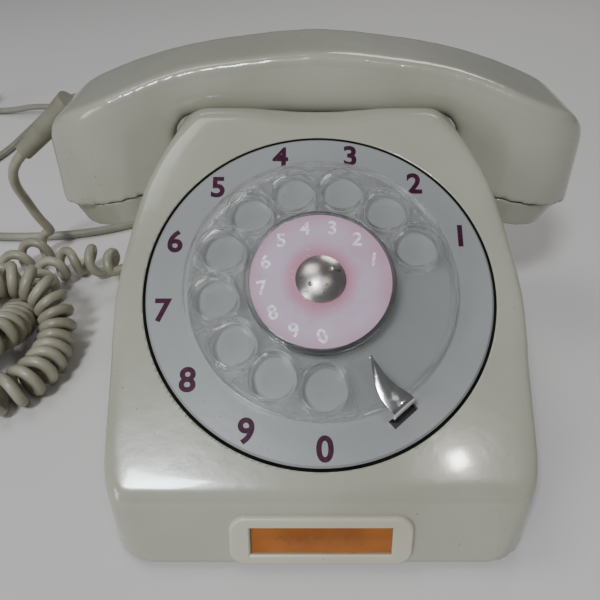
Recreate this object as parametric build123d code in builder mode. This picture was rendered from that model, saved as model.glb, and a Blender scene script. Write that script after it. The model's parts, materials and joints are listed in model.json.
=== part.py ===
from build123d import *
import os
from math import atan2, cos, degrees, pi, radians, sin, tan

# A desk telephone with a rotary dial. X runs to the right, Y to the back, Z up. The origin is on the desk
# under the middle of the telephone, without its cords. All sizes are in millimetres.

os.makedirs("parts", exist_ok=True)

# ---------------------------------------------------------------- driving dimensions

# housing
half_width = 66.0
front_half_width = 63.6
front_y = -84.4
back_y = 85.51
rim_z = 2.0
wall = 2.8
crease_y = -79.2
ridge_y = 27.0
ridge_back_y = 34.5
corner_radius = 16.0

# dial
dial_tilt = 35.0
dial_centre = Vector(0, -27.0, 62.0)
ring_radius = 55.0
ring_thickness = 2.4
ring_proud = 0.8
seal_width = 0.8
wheel_radius = 42.2
wheel_low = 4.4
wheel_thickness = 2.2
hole_radius = 7.0
hole_circle = 32.7
hole_count = 10
pitch_angle = 360 / 13
first_hole_angle = 22.0
collar_wall = 0.9
label_radius = 21.8
hub_radius = 7.65
shaft_radius = 4.0
running_gap = 0.05

# gear train
gear_module = 0.8
gear_teeth = 60
pinion_teeth = 12
gear_height = -12.5
gear_thickness = 1.5
bridge_height = -24.5
plate_thickness = 2.0

# cradle and handset
cradle_z = 89.5
handset_y = 59.0
handset_half_length = 105.2
grip_half_depth = 20.0
grip_bottom_z = 92.5
grip_top_z = 117.8
arch_drop = 23.6
cup_radius = 26.4
cup_tilt = 11.0
parting_z = 62.0
cap_depth = 11.5
plunger_x = 25.0
plunger_y = 57.0
plunger_radius = 3.5
plunger_travel = 5.0

# base
board_centre = (0.0, -58.0)
board_size = (78.0, 30.0)
board_thickness = 1.6
stud_height = 3.8
foot_height = 2.2
base_thickness = 2.0
screw_radius = 1.5
screw_gap = 0.08
fit_gap = 0.4

# cords
curl_diameter = 4.6
curl_outer = 16.5
line_diameter = 4.5
line_z = 2.4

# ---------------------------------------------------------------- planes and outlines

dial_normal = Vector(0, -sin(radians(dial_tilt)), cos(radians(dial_tilt)))


def dial_plane(height):
    """The plane parallel to the dial's face, at a height above it, with its centre on the dial's axis."""
    return Plane(origin=dial_centre + dial_normal * height, x_dir=(1, 0, 0), z_dir=dial_normal)


def face_z(y):
    """Height of the sloping face above a point of the desk."""
    return dial_centre.Z + tan(radians(dial_tilt)) * (y - dial_centre.Y)


def polar(radius, angle):
    """A point at a radius and an angle in degrees."""
    return (radius * cos(radians(angle)), radius * sin(radians(angle)))


def mirrored(half):
    """A whole outline from its right half, which runs anticlockwise."""
    return half + [(-x, y) for x, y in reversed(half) if x > 0]


def mirrored_radii(half, radii):
    """The radii that go with mirrored()."""
    return radii + [r for (x, y), r in reversed(list(zip(half, radii))) if x > 0]


def rounded_outline(points, radii, inset=0.0):
    """An anticlockwise outline with an arc at each corner, moved inwards by one inset on every side."""
    moved = []
    changed = []
    for i, radius in enumerate(radii):
        before, here, after = (Vector(*points[(i + k) % len(points)]) for k in (-1, 0, 1))
        into = (here - before).normalized()
        out = (after - here).normalized()
        outward = 1 if into.cross(out).Z > 0 else -1
        half_corner = radians(180 - into.get_angle(out)) / 2
        point = here + (out - into).normalized() * (outward * inset / sin(half_corner))
        moved.append((point.X, point.Y))
        changed.append(max(radius - inset, 0.4) if outward > 0 else radius + inset)
    return FilletPolyline(*moved, radius=changed, close=True)


def rounded_prism(plane, points, radii, inset, reach, both=True):
    """A solid block with a rounded outline."""
    with BuildPart() as block:
        with BuildSketch(plane):
            with BuildLine():
                rounded_outline(points, radii, inset)
            make_face()
        extrude(amount=reach, both=both)
    return block.part


# ---------------------------------------------------------------- housing

reach = 130.0
horn_back_z = 97.5
side_outline = [
    (back_y, rim_z),
    (back_y, horn_back_z),
    (back_y - 5.0, horn_back_z),
    (handset_y + 12.5, cradle_z),
    (handset_y - 12.5, cradle_z),
    (ridge_back_y, face_z(ridge_y)),
    (ridge_y, face_z(ridge_y)),
    (crease_y, face_z(crease_y)),
    (front_y, rim_z),
]
side_radii = [0.8, 2.0, 2.0, 4.0, 4.0, 3.5, 6.0, 8.0, 1.0]

# seen from the front: upright sides, shoulders that narrow to the two horns, and a dip between the horns
horn_half = [(half_width, -5), (half_width, 60), (57.5, 88), (39.5, 101.5), (0, 96.4)]
horn_radii = [0.5, 70, 30, 13, 150]

# seen from above: full width round the dial, narrow where the handset's cups hang
upper_half = [(front_half_width, front_y), (half_width, -10), (50, 26), (48.5, back_y)]
upper_radii = [corner_radius, 70, 60, 8]
lower_half = [(front_half_width, front_y), (half_width, 0), (62.5, back_y)]
lower_radii = [corner_radius, 200, 18]
shoulder_half = [(half_width, -5), (half_width, 27), (50, 44), (47, 88)]
shoulder_radii = [0.5, 10, 16, 1.0]

# hand-hold behind the ridge, open to the back
recess_half_width = 18.0
recess_outline = [(back_y + 4, 68), (back_y + 4, 110), (37.5, 110), (37.5, 84)]


def housing_form(inset):
    """The housing's outer form, or its hollow when the inset is the wall."""
    side = rounded_prism(Plane.YZ, side_outline, side_radii, inset, reach)
    horns = rounded_prism(Plane.XZ, mirrored(horn_half), mirrored_radii(horn_half, horn_radii), inset, reach)
    upper = rounded_prism(Plane.XY, mirrored(upper_half), mirrored_radii(upper_half, upper_radii), inset, reach)
    lower = rounded_prism(Plane.XY, mirrored(lower_half), mirrored_radii(lower_half, lower_radii), inset, reach)
    shoulders = rounded_prism(
        Plane.XZ, mirrored(shoulder_half), mirrored_radii(shoulder_half, shoulder_radii), inset, reach
    )
    with BuildPart() as upper_block:
        add(side)
        add(horns, mode=Mode.INTERSECT)
        add(upper, mode=Mode.INTERSECT)
    with BuildPart() as form:
        add(side)
        add(shoulders, mode=Mode.INTERSECT)
        add(lower, mode=Mode.INTERSECT)
        add(upper_block.part)
    return form.part


def recess_form(growth):
    """The hand-hold's space, grown by the wall where the housing's hollow has to keep clear of it."""
    with BuildPart() as space:
        with BuildSketch(Plane.YZ):
            with BuildLine():
                rounded_outline(recess_outline, [0.5, 0.5, 0.5, 6.0], -growth)
            make_face()
        extrude(amount=recess_half_width + growth, both=True)
    return space.part


boss_radius = 4.5
base_top = foot_height + base_thickness
boss_places = [(50.0, -60.0), (-50.0, -60.0), (53.0, 62.0), (-53.0, 62.0)]
boss_hole_depth = 14.0
line_exit = Vector(-36.0, back_y - wall / 2, 10.6)
curl_exit = Vector(-62.0, 66.0, 10.6)
gland_radius = 3.8
opening_radius = ring_radius + seal_width + 0.25

with BuildPart() as hollow:
    add(housing_form(wall))
    with BuildSketch(Plane.XY.offset(rim_z - 1)):
        with BuildLine():
            rounded_outline(mirrored(lower_half), mirrored_radii(lower_half, lower_radii), wall)
        make_face()
    extrude(amount=8)
    add(recess_form(wall), mode=Mode.SUBTRACT)

with BuildPart() as bosses:
    with BuildSketch(Plane.XY.offset(base_top)):
        with Locations(*boss_places):
            Circle(boss_radius)
    extrude(amount=reach)
    add(housing_form(wall / 2), mode=Mode.INTERSECT)

with BuildPart() as housing:
    add(housing_form(0))
    add(hollow.part, mode=Mode.SUBTRACT)
    add(recess_form(0), mode=Mode.SUBTRACT)
    add(bosses.part)
    with BuildSketch(dial_plane(-wall - 3)):
        Circle(opening_radius)
    extrude(amount=wall + 12, mode=Mode.SUBTRACT)
    with BuildSketch(Plane.XY.offset(base_top - 1)):
        with Locations(*boss_places):
            Circle(screw_radius + screw_gap)
    extrude(amount=boss_hole_depth, mode=Mode.SUBTRACT)
    with Locations((plunger_x, plunger_y, cradle_z), (-plunger_x, plunger_y, cradle_z)):
        Cylinder(plunger_radius + 0.3, 4 * wall, mode=Mode.SUBTRACT)
    with Locations(Plane(origin=line_exit, z_dir=(0, 1, 0))):
        Cylinder(gland_radius + running_gap, 4 * wall, mode=Mode.SUBTRACT)
    with Locations(Plane(origin=curl_exit, z_dir=(-1, 0, 0))):
        Cylinder(gland_radius + running_gap, 4 * wall, mode=Mode.SUBTRACT)


housing.part.label = "housing"
export_step(housing.part, "parts/housing.step")

# ---------------------------------------------------------------- label holder on the front apron

apron_lean = degrees(atan2(crease_y - front_y, face_z(crease_y) - rim_z))
apron_normal = Vector(0, -cos(radians(apron_lean)), sin(radians(apron_lean)))
apron_foot = Vector(0, front_y, rim_z)
apron_up = Vector(0, sin(radians(apron_lean)), cos(radians(apron_lean)))
label_frame_size = (54.0, 17.4)
label_window_size = (41.6, 10.0)
label_frame_proud = 1.6
label_centre = apron_foot + apron_up * 9.8
card_thickness = 0.4
window_thickness = 0.7


def apron_plane(height):
    """The plane of the apron, with its centre at the label holder, at a height above the apron."""
    return Plane(origin=label_centre + apron_normal * height, x_dir=(1, 0, 0), z_dir=apron_normal)


with BuildPart() as label_frame:
    with BuildSketch(apron_plane(0)):
        RectangleRounded(*label_frame_size, 5.0)
        Rectangle(*label_window_size, mode=Mode.SUBTRACT)
    extrude(amount=label_frame_proud)
    top = label_frame.faces().filter_by(lambda f: (f.normal_at() - apron_normal).length < 0.01).sort_by(Axis.Y)[0]
    fillet(top.outer_wire().edges(), 1.1)
    chamfer(
        label_frame.faces()
        .filter_by(lambda f: (f.normal_at() - apron_normal).length < 0.01)
        .sort_by(Axis.Y)[0]
        .inner_wires()[0]
        .edges(),
        0.5,
    )
label_frame.part.label = "label_frame"
export_step(label_frame.part, "parts/label_frame.step")

with BuildPart() as label_card:
    with BuildSketch(apron_plane(0)):
        Rectangle(label_window_size[0] - fit_gap, label_window_size[1] - fit_gap)
    extrude(amount=card_thickness)
label_card.part.label = "label_card"
export_step(label_card.part, "parts/label_card.step")

with BuildPart() as label_window:
    with BuildSketch(apron_plane(card_thickness)):
        Rectangle(label_window_size[0] - fit_gap / 2, label_window_size[1] - fit_gap / 2)
    extrude(amount=window_thickness)
label_window.part.label = "label_window"
export_step(label_window.part, "parts/label_window.step")

# ---------------------------------------------------------------- base, feet and screws

with BuildPart() as base_plate:
    with BuildSketch(Plane.XY.offset(foot_height)):
        with BuildLine():
            rounded_outline(mirrored(lower_half), mirrored_radii(lower_half, lower_radii), wall + fit_gap)
        make_face()
        with Locations(*boss_places):
            Circle(screw_radius + screw_gap, mode=Mode.SUBTRACT)
    extrude(amount=base_thickness)
    with BuildSketch(Plane.XY.offset(base_top)):
        with Locations(board_centre):
            with GridLocations(board_size[0] - 8, board_size[1] - 8, 2, 2):
                Circle(2.2)
    extrude(amount=stud_height)
base_plate.part.label = "base_plate"
export_step(base_plate.part, "parts/base_plate.step")

foot_places = [(42.0, -68.0), (-42.0, -68.0), (44.0, 66.0), (-44.0, 66.0)]
with BuildPart() as rubber_feet:
    with BuildSketch():
        with Locations(*foot_places):
            Circle(7.0)
    extrude(amount=foot_height)
    chamfer(rubber_feet.edges().group_by(Axis.Z)[0], 0.6)
rubber_feet.part.label = "rubber_feet"
export_step(rubber_feet.part, "parts/rubber_feet.step")

with BuildPart() as housing_screws:
    with BuildSketch(Plane.XY.offset(foot_height - 1.4)):
        with Locations(*boss_places):
            Circle(2.8)
    extrude(amount=1.4)
    with BuildSketch(Plane.XY.offset(foot_height - 1.4)):
        with Locations(*boss_places):
            Circle(screw_radius)
    extrude(amount=boss_hole_depth - 2)
    with BuildSketch(Plane.XY.offset(foot_height - 1.4)):
        with Locations(*boss_places):
            Rectangle(4.6, 0.7)
    extrude(amount=0.6, mode=Mode.SUBTRACT)
housing_screws.part.label = "housing_screws"
export_step(housing_screws.part, "parts/housing_screws.step")

# ---------------------------------------------------------------- dial, fixed pieces

ring_low = ring_proud - ring_thickness
stop_base = [(21.2, -41.8), (27.0, -36.8)]
stop_thickness = 1.1
stop_top = 9.6
frame_low = -wall - 2.2


def offset_strip(start, end, thickness):
    """The corners of a straight strip laid outwards from the line between two points."""
    along = (Vector(*end) - Vector(*start)).normalized()
    outward = Vector(along.Y, -along.X)
    return [start, end, tuple(Vector(*end) + outward * thickness)[:2], tuple(Vector(*start) + outward * thickness)[:2]]


with BuildPart() as number_ring:
    with BuildSketch(dial_plane(ring_low)):
        Circle(ring_radius)
        Circle(9.0, mode=Mode.SUBTRACT)
    extrude(amount=ring_thickness)
    with BuildSketch(dial_plane(ring_low - 1)):
        with BuildLine():
            Polyline(*offset_strip(*stop_base, stop_thickness), close=True)
        make_face()
        offset(amount=0.9, kind=Kind.INTERSECTION)
    extrude(amount=ring_thickness + 2, mode=Mode.SUBTRACT)
    chamfer(
        number_ring.edges()
        .filter_by(GeomType.CIRCLE)
        .filter_by(lambda e: e.radius > ring_radius - 0.1)
        .sort_by(lambda e: dial_normal.dot(e.arc_center))[-1],
        0.7,
    )
number_ring.part.label = "number_ring"
export_step(number_ring.part, "parts/number_ring.step")

with BuildPart() as ring_seal:
    with BuildSketch(dial_plane(ring_low)):
        Circle(opening_radius - 0.1)
        Circle(ring_radius + 0.1, mode=Mode.SUBTRACT)
    extrude(amount=ring_thickness - 1.0)
ring_seal.part.label = "ring_seal"
export_step(ring_seal.part, "parts/ring_seal.step")

bush_radius = 6.0
spindle_radius = 1.5
spindle_distance = gear_module * (gear_teeth + pinion_teeth) / 2
spindle_place = (0.0, spindle_distance)
post_radius = 3.0
post_circle = 30.5
post_angles = [30, 150, 270]

with BuildPart() as dial_frame:
    with BuildSketch(dial_plane(frame_low)):
        Circle(ring_radius + 4.5)
    extrude(amount=-frame_low - wall - 0.1)
    with BuildSketch(dial_plane(frame_low)):
        Circle(ring_radius + 0.1)
    extrude(amount=ring_low - frame_low)
    with BuildSketch(dial_plane(frame_low - 1)):
        Circle(bush_radius + 0.02)
    extrude(amount=reach, mode=Mode.SUBTRACT)
    with BuildSketch(dial_plane(frame_low - 1)):
        with Locations(spindle_place):
            Circle(spindle_radius + running_gap)
    extrude(amount=3, mode=Mode.SUBTRACT)
dial_frame.part.label = "dial_frame"
export_step(dial_frame.part, "parts/dial_frame.step")

with BuildPart() as main_bush:
    with BuildSketch(dial_plane(-9.0)):
        Circle(bush_radius)
        Circle(shaft_radius + running_gap, mode=Mode.SUBTRACT)
    extrude(amount=10.5)
main_bush.part.label = "main_bush"
export_step(main_bush.part, "parts/main_bush.step")

stop_outline = [
    stop_base[0],
    (18.9, -39.0),
    (16.7, -35.0),
    (15.2, -30.0),
    (14.4, -23.6),
]
stop_return = [(14.4, -23.6), (16.0, -25.6), (18.6, -29.6), (22.0, -33.0), stop_base[1]]
with BuildPart() as finger_stop:
    with BuildSketch(dial_plane(stop_top - stop_thickness)):
        with BuildLine():
            Spline(*stop_outline)
            Spline(*stop_return)
            Line(stop_base[1], stop_base[0])
        make_face()
        with BuildLine():
            Polyline(*offset_strip(*stop_base, stop_thickness), close=True)
        make_face()
    extrude(amount=stop_thickness)
    with BuildSketch(dial_plane(ring_low)):
        with BuildLine():
            Polyline(*offset_strip(*stop_base, stop_thickness), close=True)
        make_face()
    extrude(amount=stop_top - ring_low)
finger_stop.part.label = "finger_stop"
export_step(finger_stop.part, "parts/finger_stop.step")

with BuildPart() as dial_bridge:
    with BuildSketch(dial_plane(bridge_height)):
        Circle(post_circle + 3.5)
        with Locations(spindle_place):
            Circle(12.5)
        Circle(2.5 + running_gap, mode=Mode.SUBTRACT)
        with Locations(spindle_place):
            Circle(spindle_radius + running_gap, mode=Mode.SUBTRACT)
    extrude(amount=plate_thickness)
    with BuildSketch(dial_plane(bridge_height)):
        for angle in post_angles:
            with Locations(polar(post_circle, angle)):
                Circle(post_radius)
    extrude(amount=frame_low - bridge_height)
dial_bridge.part.label = "dial_bridge"
export_step(dial_bridge.part, "parts/dial_bridge.step")

bridge_top = bridge_height + plate_thickness
barrel_radius = 15.0
barrel_low = -10.4
with BuildPart() as spring_barrel:
    with BuildSketch(dial_plane(barrel_low)):
        Circle(barrel_radius)
        Circle(bush_radius + 0.6, mode=Mode.SUBTRACT)
    extrude(amount=frame_low - barrel_low)
    with BuildSketch(dial_plane(barrel_low + 0.8)):
        Circle(barrel_radius - 0.8)
        Circle(bush_radius + 0.6, mode=Mode.SUBTRACT)
    extrude(amount=frame_low - barrel_low, mode=Mode.SUBTRACT)
spring_barrel.part.label = "spring_barrel"
export_step(spring_barrel.part, "parts/spring_barrel.step")

spring_start = bush_radius + 1.2
spring_step = 0.85
with BuildPart() as mainspring:
    with BuildSketch(dial_plane(barrel_low + 1.2)):
        with BuildLine() as coils:
            for turn in range(14):
                side = 1 if turn % 2 == 0 else -1
                radius = spring_start + spring_step * turn / 2
                shift = 0 if side > 0 else spring_step / 2
                CenterArc((shift - spring_step / 2, 0), radius, 0 if side > 0 else 180, 180)
        trace(coils.edges(), line_width=0.35)
    extrude(amount=3.2)
mainspring.part.label = "mainspring"
export_step(mainspring.part, "parts/mainspring.step")

with BuildPart() as governor_cup:
    with BuildSketch(dial_plane(bridge_top)):
        with Locations(spindle_place):
            Circle(11.0)
            Circle(spindle_radius + 0.6, mode=Mode.SUBTRACT)
    extrude(amount=1.0)
    with BuildSketch(dial_plane(bridge_top)):
        with Locations(spindle_place):
            Circle(11.0)
            Circle(10.0, mode=Mode.SUBTRACT)
    extrude(amount=7.0)
governor_cup.part.label = "governor_cup"
export_step(governor_cup.part, "parts/governor_cup.step")

cam_height = -17.0
contact_place = (-24.0, -8.0)
with BuildPart() as pulse_contacts:
    with BuildSketch(dial_plane(bridge_top)):
        with Locations(contact_place):
            Rectangle(7.0, 9.0)
    extrude(amount=8.0)
    for level in (1.6, 3.6, 5.6):
        with BuildSketch(dial_plane(bridge_top + level)):
            with Locations((contact_place[0] + 1.0, contact_place[1] + 10.0)):
                Rectangle(1.6, 14.0)
        extrude(amount=0.5)
pulse_contacts.part.label = "pulse_contacts"
export_step(pulse_contacts.part, "parts/pulse_contacts.step")

# ---------------------------------------------------------------- dial, turning pieces

wheel_top = wheel_low + wheel_thickness
collar_low = wheel_low - 1.8
collar_top = wheel_top + 1.1
boss_top_height = wheel_top + 2.0
hole_angles = [first_hole_angle + pitch_angle * i for i in range(hole_count)]
rib_angles = [first_hole_angle + pitch_angle * (i - 0.5) for i in range(hole_count + 1)]

with BuildPart() as finger_wheel:
    with BuildSketch(dial_plane(wheel_low)):
        Circle(wheel_radius)
    extrude(amount=wheel_thickness)
    with BuildSketch(dial_plane(wheel_low - 1.0)):
        Circle(wheel_radius)
        Circle(wheel_radius - 1.5, mode=Mode.SUBTRACT)
    extrude(amount=wheel_thickness + 2.0)
    with BuildSketch(dial_plane(wheel_low)):
        Circle(label_radius + 1.5)
    extrude(amount=boss_top_height - wheel_low)
    with BuildSketch(dial_plane(collar_low)):
        for angle in hole_angles:
            with Locations(polar(hole_circle, angle)):
                Circle(hole_radius + collar_wall)
    extrude(amount=collar_top - collar_low)
    with BuildSketch(dial_plane(wheel_low - 1.4)):
        for angle in rib_angles:
            with Locations(Location(polar(34.0, angle), angle)):
                Rectangle(14.0, 0.8)
    extrude(amount=1.4)
    with BuildSketch(dial_plane(collar_low - 1)):
        for angle in hole_angles:
            with Locations(polar(hole_circle, angle)):
                Circle(hole_radius)
        Circle(shaft_radius)
    extrude(amount=reach, mode=Mode.SUBTRACT)
finger_wheel.part.label = "finger_wheel"
export_step(finger_wheel.part, "parts/finger_wheel.step")

disc_thickness = 0.6
with BuildPart() as label_disc:
    with BuildSketch(dial_plane(boss_top_height)):
        Circle(label_radius)
        Circle(shaft_radius, mode=Mode.SUBTRACT)
    extrude(amount=disc_thickness)
label_disc.part.label = "label_disc"
export_step(label_disc.part, "parts/label_disc.step")

with BuildPart() as label_ring:
    with BuildSketch(dial_plane(boss_top_height)):
        Circle(label_radius + 1.4)
        Circle(label_radius, mode=Mode.SUBTRACT)
    extrude(amount=disc_thickness + 0.6)
    rim_edges = label_ring.edges().filter_by(GeomType.CIRCLE)
    fillet(rim_edges.sort_by(lambda e: dial_normal.dot(e.arc_center) * 1000 + e.radius)[-1], 0.5)
label_ring.part.label = "label_ring"
export_step(label_ring.part, "parts/label_ring.step")

disc_top = boss_top_height + disc_thickness
hub_skirt = 1.0
hub_height = 3.6
hub_plane = Plane(origin=dial_centre + dial_normal * disc_top, x_dir=(1, 0, 0), z_dir=-dial_plane(0).y_dir)
with BuildPart() as hub_cap:
    with BuildSketch(hub_plane):
        with BuildLine():
            Line((0, 0), (hub_radius, 0))
            Line((hub_radius, 0), (hub_radius, hub_skirt))
            ThreePointArc(
                (hub_radius, hub_skirt),
                (hub_radius * 0.62, hub_skirt + (hub_height - hub_skirt) * 0.62),
                (0, hub_height),
            )
            Line((0, hub_height), (0, 0))
        make_face()
    revolve(axis=Axis(dial_centre, dial_normal))
    with BuildSketch(dial_plane(disc_top + hub_height - 1.8)):
        with Locations(polar(3.9, 38), polar(3.9, 218)):
            Circle(0.8)
    extrude(amount=5, mode=Mode.SUBTRACT)
hub_cap.part.label = "hub_cap"
export_step(hub_cap.part, "parts/hub_cap.step")

with BuildPart() as main_shaft:
    with BuildSketch(dial_plane(bridge_top + 0.3)):
        Circle(shaft_radius)
    extrude(amount=disc_top - bridge_top - 0.3)
    with BuildSketch(dial_plane(bridge_height)):
        Circle(2.5)
    extrude(amount=plate_thickness + 0.3)
main_shaft.part.label = "main_shaft"
export_step(main_shaft.part, "parts/main_shaft.step")


def gear_outline(teeth, phase):
    """Points of a spur gear with straight-sided teeth, thin enough to leave backlash on both flanks."""
    pitch_radius = gear_module * teeth / 2
    tooth = 360 / teeth
    points = []
    for i in range(teeth):
        middle = phase + i * tooth
        points.append(polar(pitch_radius - 1.05 * gear_module, middle - 0.30 * tooth))
        points.append(polar(pitch_radius + 0.75 * gear_module, middle - 0.10 * tooth))
        points.append(polar(pitch_radius + 0.75 * gear_module, middle + 0.10 * tooth))
        points.append(polar(pitch_radius - 1.05 * gear_module, middle + 0.30 * tooth))
    return points


with BuildPart() as main_gear:
    with BuildSketch(dial_plane(gear_height)):
        with BuildLine():
            Polyline(*gear_outline(gear_teeth, 90), close=True)
        make_face()
        Circle(shaft_radius, mode=Mode.SUBTRACT)
        with PolarLocations(14.0, 5):
            Circle(4.0, mode=Mode.SUBTRACT)
    extrude(amount=gear_thickness)
main_gear.part.label = "main_gear"
export_step(main_gear.part, "parts/main_gear.step")

with BuildPart() as pulse_cam:
    with BuildSketch(dial_plane(cam_height)):
        Circle(14.0)
        Circle(shaft_radius, mode=Mode.SUBTRACT)
        with Locations(*[polar(14.0, angle) for angle in hole_angles]):
            Circle(1.6, mode=Mode.SUBTRACT)
    extrude(amount=1.5)
pulse_cam.part.label = "pulse_cam"
export_step(pulse_cam.part, "parts/pulse_cam.step")

with BuildPart() as governor_pinion:
    pinion_plane = dial_plane(gear_height - 0.5)
    pinion_plane.origin += pinion_plane.y_dir * spindle_distance
    with BuildSketch(pinion_plane):
        with BuildLine():
            Polyline(*gear_outline(pinion_teeth, 270 + 180 / pinion_teeth), close=True)
        make_face()
        Circle(spindle_radius, mode=Mode.SUBTRACT)
    extrude(amount=gear_thickness + 1.0)
governor_pinion.part.label = "governor_pinion"
export_step(governor_pinion.part, "parts/governor_pinion.step")

with BuildPart() as governor_spindle:
    with BuildSketch(dial_plane(bridge_height + 0.2)):
        with Locations(spindle_place):
            Circle(spindle_radius)
    extrude(amount=frame_low - bridge_height + 1.4)
governor_spindle.part.label = "governor_spindle"
export_step(governor_spindle.part, "parts/governor_spindle.step")

with BuildPart() as governor_weights:
    with BuildSketch(dial_plane(bridge_top + 2.0)):
        with Locations(spindle_place):
            Circle(4.0)
            Rectangle(17.0, 3.0)
        for side in (1, -1):
            with Locations((spindle_place[0] + side * 6.8, spindle_place[1])):
                Circle(2.4)
        with Locations(spindle_place):
            Circle(spindle_radius, mode=Mode.SUBTRACT)
    extrude(amount=4.0)
governor_weights.part.label = "governor_weights"
export_step(governor_weights.part, "parts/governor_weights.step")

# ---------------------------------------------------------------- handset

cup_angle = radians(cup_tilt)
cup_x = handset_half_length - 26.2
arch_end = handset_half_length - 6.5
grip_arch_radius = (arch_end**2 + arch_drop**2) / (2 * arch_drop)
grip_side = 53.5
tower_half_width = 50.0
grip_round = 7.0
arch_centre_z = grip_top_z - grip_arch_radius
handset_top = [
    (x, arch_centre_z + (grip_arch_radius**2 - x**2) ** 0.5) for x in (0.0, 52.0, arch_end)
]
inner_low = (cup_x - cup_radius * cos(cup_angle), parting_z + cup_radius * sin(cup_angle))
outer_low = (cup_x + cup_radius * cos(cup_angle), parting_z - cup_radius * sin(cup_angle))
shell_half = [
    (0, grip_bottom_z + 1.0),
    (grip_side, grip_bottom_z),
    inner_low,
    outer_low,
    (handset_half_length, 82.0),
    handset_top[2],
    handset_top[1],
    handset_top[0],
]
shell_radii = [300, 6, 0.4, 0.4, 18, 21, 150, 150]
plan_half = [
    (tower_half_width + 1, -grip_half_depth),
    (cup_x - 4, -cup_radius),
    (handset_half_length, -cup_radius),
    (handset_half_length, cup_radius),
    (cup_x - 4, cup_radius),
    (tower_half_width + 1, grip_half_depth),
]
plan_radii = [60, 20, 23, 23, 20, 60]
channel_z = grip_bottom_z + 7.5
capsule_radius = 22.0
capsule_depth = 12.0
cap_gap = 0.5
boot_exit = Vector(3.2 - handset_half_length, 72.0, 88.5)
boot_direction = Vector(-0.74, 0.05, -0.66).normalized()


def cup_frame(side, height):
    """The plane across a cup's mouth, moved along the cup's axis; the side is 1 on the right and -1 on the left."""
    up = Vector(side * sin(cup_angle), 0, cos(cup_angle))
    origin = Vector(side * cup_x, handset_y, parting_z) + up * height
    return Plane(origin=origin, x_dir=(cos(cup_angle), 0, -side * sin(cup_angle)), z_dir=up)


with BuildPart() as handset_shell:
    with BuildSketch(Plane.XZ.offset(-handset_y)):
        with BuildLine():
            rounded_outline(mirrored(shell_half), mirrored_radii(shell_half, shell_radii))
        make_face()
    extrude(amount=40, both=True)
    with BuildSketch(Plane((0, handset_y, 0))):
        with BuildLine():
            rounded_outline(mirrored(plan_half), mirrored_radii(plan_half, plan_radii))
        make_face()
    extrude(amount=reach, mode=Mode.INTERSECT)
    with BuildSketch(Plane.YZ):
        for side in (1, -1):
            with BuildLine():
                foot = (handset_y + side * (grip_half_depth - grip_round), grip_bottom_z - 1)
                flat = (handset_y + side * (grip_half_depth - grip_round), grip_bottom_z)
                rise = (handset_y + side * grip_half_depth, grip_bottom_z + grip_round)
                far = (handset_y + side * (grip_half_depth + 2), grip_bottom_z + grip_round)
                corner = (handset_y + side * (grip_half_depth + 2), grip_bottom_z - 1)
                bulge = grip_round * (1 - cos(pi / 4))
                middle = (handset_y + side * (grip_half_depth - bulge), grip_bottom_z + bulge)
                ThreePointArc(flat, middle, rise)
                Polyline(rise, far, corner, foot, flat)
            make_face()
    extrude(amount=tower_half_width + 0.5, both=True, mode=Mode.SUBTRACT)
    for side in (1, -1):
        with BuildSketch(cup_frame(side, -5.0)):
            Circle(capsule_radius + fit_gap)
        extrude(amount=capsule_depth + 7.0, mode=Mode.SUBTRACT)
        with BuildSketch(Plane.XY.offset(parting_z + 4)):
            with Locations((side * (cup_x - 8), handset_y)):
                Circle(4.0)
        extrude(amount=channel_z - parting_z - 4, mode=Mode.SUBTRACT)
    with Locations((0, handset_y, channel_z)):
        Box(2 * cup_x - 12, 14.0, 6.0, mode=Mode.SUBTRACT)
handset_shell.part.label = "handset_shell"
export_step(handset_shell.part, "parts/handset_shell.step")

hole_rings = {"ear_cap": [(0.0, 1), (5.0, 6), (10.0, 10)], "mouth_cap": [(0.0, 1), (4.0, 4), (8.0, 8), (12.0, 12)]}
for name, side in (("ear_cap", 1), ("mouth_cap", -1)):
    with BuildPart() as cap:
        with BuildSketch(cup_frame(side, -cap_gap)):
            Circle(cup_radius - 0.9)
        extrude(amount=-cap_depth, taper=16)
        with BuildSketch(cup_frame(side, -cap_gap - cap_depth + 2.2)):
            Circle(capsule_radius - 4)
        extrude(amount=cap_depth, mode=Mode.SUBTRACT)
        with BuildSketch(cup_frame(side, -cap_gap - cap_depth - 1)):
            for ring, count in hole_rings[name]:
                with PolarLocations(ring, count):
                    Circle(1.0)
        extrude(amount=cap_depth, mode=Mode.SUBTRACT)
    cap.part.label = name
    export_step(cap.part, f"parts/{name}.step")

for name, side in (("receiver_capsule", 1), ("transmitter_capsule", -1)):
    with BuildPart() as capsule:
        with BuildSketch(cup_frame(side, 0.2)):
            Circle(capsule_radius)
        extrude(amount=capsule_depth - 3)
        with BuildSketch(cup_frame(side, 0.2)):
            Circle(capsule_radius - 5)
        extrude(amount=capsule_depth)
    capsule.part.label = name
    export_step(capsule.part, f"parts/{name}.step")

boot_length = 34.0
with BuildPart() as handset_boot:
    with BuildSketch(Plane(origin=boot_exit, z_dir=boot_direction)):
        Circle(5.6)
    with BuildSketch(Plane(origin=boot_exit + boot_direction * boot_length, z_dir=boot_direction)):
        Circle(3.9)
    loft()
    add(handset_shell.part, mode=Mode.SUBTRACT)
boot_solid = handset_boot.part.solids().sort_by(Axis.X)[0]
handset_boot = Part(boot_solid.wrapped)
handset_boot.label = "handset_boot"
export_step(handset_boot, "parts/handset_boot.step")

# ---------------------------------------------------------------- cradle and hook switch

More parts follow.
